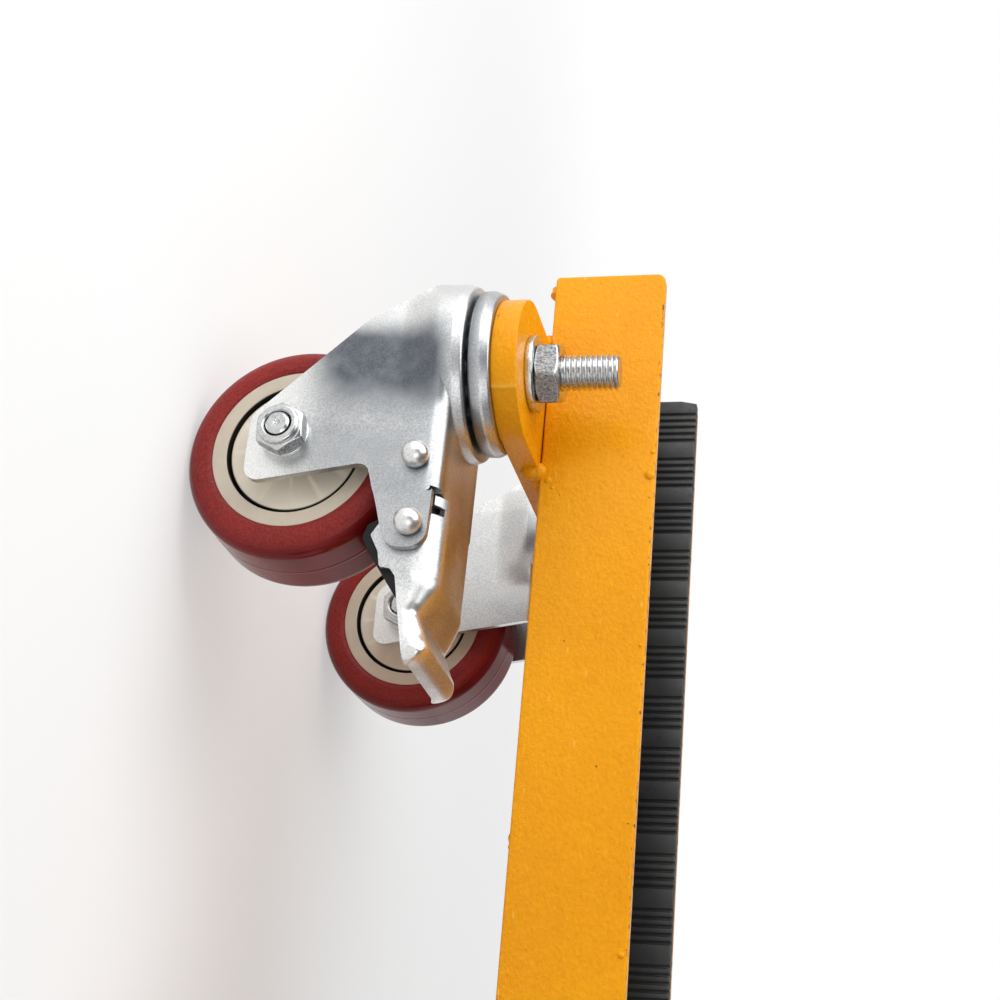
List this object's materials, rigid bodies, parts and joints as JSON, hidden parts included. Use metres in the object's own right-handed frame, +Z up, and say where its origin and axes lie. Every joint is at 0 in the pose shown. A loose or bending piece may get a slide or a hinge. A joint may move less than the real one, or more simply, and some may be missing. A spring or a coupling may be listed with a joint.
{
  "type": "stone slab cart",
  "caption": "Low cart with a rubber-lined steel channel that holds a slab on edge, on crossbars with swivel casters, some with foot brakes.",
  "frame": {"origin": "on the floor, under the middle of the cart", "axes": "+X along the channel towards the rear end, +Y across it towards the right side, +Z up"},
  "size_m": [0.4, 0.2188, 0.1494],
  "materials": {
    "frame_paint": "glossy",
    "lining_rubber": "matte",
    "fork_zinc": "satin",
    "fastener_zinc": "bright",
    "ball_steel": "polished",
    "spring_steel": "satin",
    "tyre_red": "glossy",
    "hub_plastic": "satin",
    "brake_rubber": "matte"
  },
  "bodies": {
    "frame": {"base_plate": "frame_paint", "left_side_plate": "frame_paint", "right_side_plate": "frame_paint", "crossbars": "frame_paint", "weld_beads": "frame_paint", "floor_pad": "lining_rubber", "left_side_pad": "lining_rubber", "right_side_pad": "lining_rubber", "stem_bolts": "fastener_zinc", "stem_nuts": "fastener_zinc", "stem_washers": "fastener_zinc", "upper_races": "fork_zinc"},
    "front_left_caster": {"front_left_fork": "fork_zinc", "front_left_swivel_balls": "ball_steel", "front_left_axle_bolt": "fastener_zinc", "front_left_axle_nut": "fastener_zinc", "front_left_axle_washers": "fastener_zinc", "front_left_axle_sleeve": "fastener_zinc", "front_left_brake_pins": "fastener_zinc", "front_left_brake_spring": "spring_steel"},
    "front_left_wheel": {"front_left_tyre": "tyre_red", "front_left_wheel_core": "hub_plastic", "front_left_wheel_bearings": "ball_steel", "front_left_dust_covers": "hub_plastic"},
    "front_left_brake": {"front_left_brake_pedal": "fork_zinc", "front_left_brake_pad": "brake_rubber"},
    "front_right_caster": {"front_right_fork": "fork_zinc", "front_right_swivel_balls": "ball_steel", "front_right_axle_bolt": "fastener_zinc", "front_right_axle_nut": "fastener_zinc", "front_right_axle_washers": "fastener_zinc", "front_right_axle_sleeve": "fastener_zinc"},
    "front_right_wheel": {"front_right_tyre": "tyre_red", "front_right_wheel_core": "hub_plastic", "front_right_wheel_bearings": "ball_steel", "front_right_dust_covers": "hub_plastic"},
    "rear_right_caster": {"rear_right_fork": "fork_zinc", "rear_right_swivel_balls": "ball_steel", "rear_right_axle_bolt": "fastener_zinc", "rear_right_axle_nut": "fastener_zinc", "rear_right_axle_washers": "fastener_zinc", "rear_right_axle_sleeve": "fastener_zinc", "rear_right_brake_pins": "fastener_zinc", "rear_right_brake_spring": "spring_steel"},
    "rear_right_wheel": {"rear_right_tyre": "tyre_red", "rear_right_wheel_core": "hub_plastic", "rear_right_wheel_bearings": "ball_steel", "rear_right_dust_covers": "hub_plastic"},
    "rear_right_brake": {"rear_right_brake_pedal": "fork_zinc", "rear_right_brake_pad": "brake_rubber"},
    "rear_left_caster": {"rear_left_fork": "fork_zinc", "rear_left_swivel_balls": "ball_steel", "rear_left_axle_bolt": "fastener_zinc", "rear_left_axle_nut": "fastener_zinc", "rear_left_axle_washers": "fastener_zinc", "rear_left_axle_sleeve": "fastener_zinc"},
    "rear_left_wheel": {"rear_left_tyre": "tyre_red", "rear_left_wheel_core": "hub_plastic", "rear_left_wheel_bearings": "ball_steel", "rear_left_dust_covers": "hub_plastic"}
  },
  "joints": [
    {"name": "front_left_swivel", "type": "hinge", "parent": "frame", "child": "front_left_caster", "pos_m": [-0.149, -0.0751, 0.0886], "axis": [0, 0, 1], "continuous": true},
    {"name": "front_left_roll", "type": "hinge", "parent": "front_left_caster", "child": "front_left_wheel", "pos_m": [-0.11481, -0.07588, 0.0375], "axis": [0.0227, 0.9997, 0], "continuous": true},
    {"name": "front_left_brake_press", "type": "hinge", "parent": "front_left_caster", "child": "front_left_brake", "pos_m": [-0.08362, -0.07658, 0.082], "axis": [0.0227, 0.9997, 0], "range_deg": [0, 35]},
    {"name": "front_right_swivel", "type": "hinge", "parent": "frame", "child": "front_right_caster", "pos_m": [-0.149, 0.0751, 0.0886], "axis": [0, 0, 1], "continuous": true},
    {"name": "front_right_roll", "type": "hinge", "parent": "front_right_caster", "child": "front_right_wheel", "pos_m": [-0.11482, 0.07635, 0.0375], "axis": [-0.0366, 0.9993, 0], "continuous": true},
    {"name": "rear_right_swivel", "type": "hinge", "parent": "frame", "child": "rear_right_caster", "pos_m": [0.149, 0.0751, 0.0886], "axis": [0, 0, 1], "continuous": true},
    {"name": "rear_right_roll", "type": "hinge", "parent": "rear_right_caster", "child": "rear_right_wheel", "pos_m": [0.11481, 0.07588, 0.0375], "axis": [-0.0227, -0.9997, 0], "continuous": true},
    {"name": "rear_right_brake_press", "type": "hinge", "parent": "rear_right_caster", "child": "rear_right_brake", "pos_m": [0.08362, 0.07658, 0.082], "axis": [-0.0227, -0.9997, 0], "range_deg": [0, 35]},
    {"name": "rear_left_swivel", "type": "hinge", "parent": "frame", "child": "rear_left_caster", "pos_m": [0.149, -0.0751, 0.0886], "axis": [0, 0, 1], "continuous": true},
    {"name": "rear_left_roll", "type": "hinge", "parent": "rear_left_caster", "child": "rear_left_wheel", "pos_m": [0.11482, -0.07635, 0.0375], "axis": [0.0366, -0.9993, 0], "continuous": true}
  ]
}
